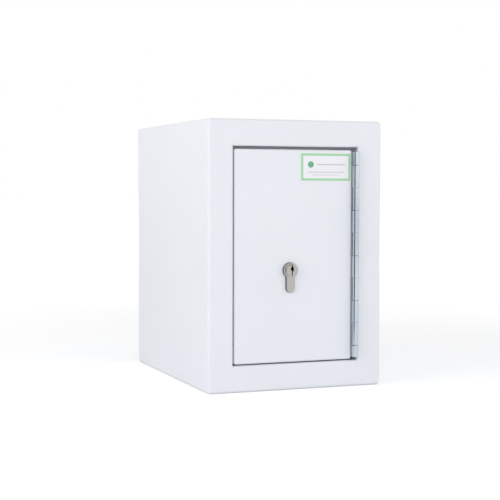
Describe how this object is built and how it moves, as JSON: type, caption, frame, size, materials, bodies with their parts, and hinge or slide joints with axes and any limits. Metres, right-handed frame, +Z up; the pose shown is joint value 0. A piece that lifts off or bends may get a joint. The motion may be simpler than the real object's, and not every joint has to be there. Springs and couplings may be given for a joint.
{
  "type": "lockable medicine cabinet",
  "caption": "Small welded steel wall cabinet with a deep framed body, an inset door on a full-length hinge, a keyed cylinder working a sliding deadbolt, and a lift-out shelf.",
  "frame": {"origin": "centre of the bounding box's underside, which is the base the cabinet stands on", "axes": "+Z up, +X to the right seen from the front, the door faces -Y and the back that goes to the wall faces +Y"},
  "size_m": [0.208, 0.2812, 0.3],
  "materials": {
    "powder_coat": "fine smooth white powder coat over welded sheet steel",
    "zinc_plate": "bright zinc-plated steel",
    "satin_nickel": "satin nickel plate on brass",
    "plain_steel": "plain machined or spring steel",
    "brass_pins": "turned brass",
    "rubber": "soft black rubber",
    "label_film": "white vinyl with a light green border"
  },
  "bodies": {
    "cabinet": {"left_side_panel": "powder_coat", "right_side_panel": "powder_coat", "top_panel": "powder_coat", "bottom_panel": "powder_coat", "back_panel": "powder_coat", "frame_hinge_leaf": "zinc_plate", "hinge_pin": "plain_steel", "bolt_keep": "powder_coat", "door_stop_lower": "powder_coat", "door_stop_upper": "powder_coat", "door_buffer_lower": "rubber", "door_buffer_upper": "rubber", "shelf_support_left": "powder_coat", "shelf_support_right": "powder_coat"},
    "door": {"door_panel": "powder_coat", "door_hinge_leaf": "zinc_plate", "anti_jemmy_strip": "powder_coat", "door_label": "label_film", "lock_bracket_lower": "powder_coat", "lock_bracket_upper": "powder_coat", "lock_case": "zinc_plate", "lock_cover": "zinc_plate", "lock_screws": "zinc_plate", "bolt_guide_post": "plain_steel", "bolt_spring": "plain_steel", "cylinder_body": "satin_nickel", "cylinder_screw": "zinc_plate", "driver_pins": "brass_pins", "pin_springs": "plain_steel"},
    "lock_plug": {"cylinder_plug": "satin_nickel", "key_pins": "brass_pins", "cylinder_cam": "plain_steel", "cam_clip": "plain_steel"},
    "bolt": {"deadbolt": "satin_nickel"},
    "loose_shelf": {"shelf": "powder_coat"}
  },
  "joints": [
    {"name": "door_hinge", "type": "hinge", "parent": "cabinet", "child": "door", "pos_m": [0.0714, -0.137, 0.1496], "axis": [0, 0, 1], "range_deg": [0, 180]},
    {"name": "key_turn", "type": "hinge", "parent": "door", "child": "lock_plug", "pos_m": [-0.008, -0.1369, 0.1335], "axis": [0, -1, 0], "range_deg": [0, 90]},
    {"name": "bolt_throw", "type": "slide", "parent": "door", "child": "bolt", "axis": [-1, 0, 0], "range_m": [0, 0.02]},
    {"name": "shelf_lift", "type": "slide", "parent": "cabinet", "child": "loose_shelf", "axis": [0, 0, 1], "range_m": [0, 0.025]}
  ],
  "couplings": [
    {"joint": "key_turn", "follows": "bolt_throw", "rad_per_m": 78.54}
  ]
}
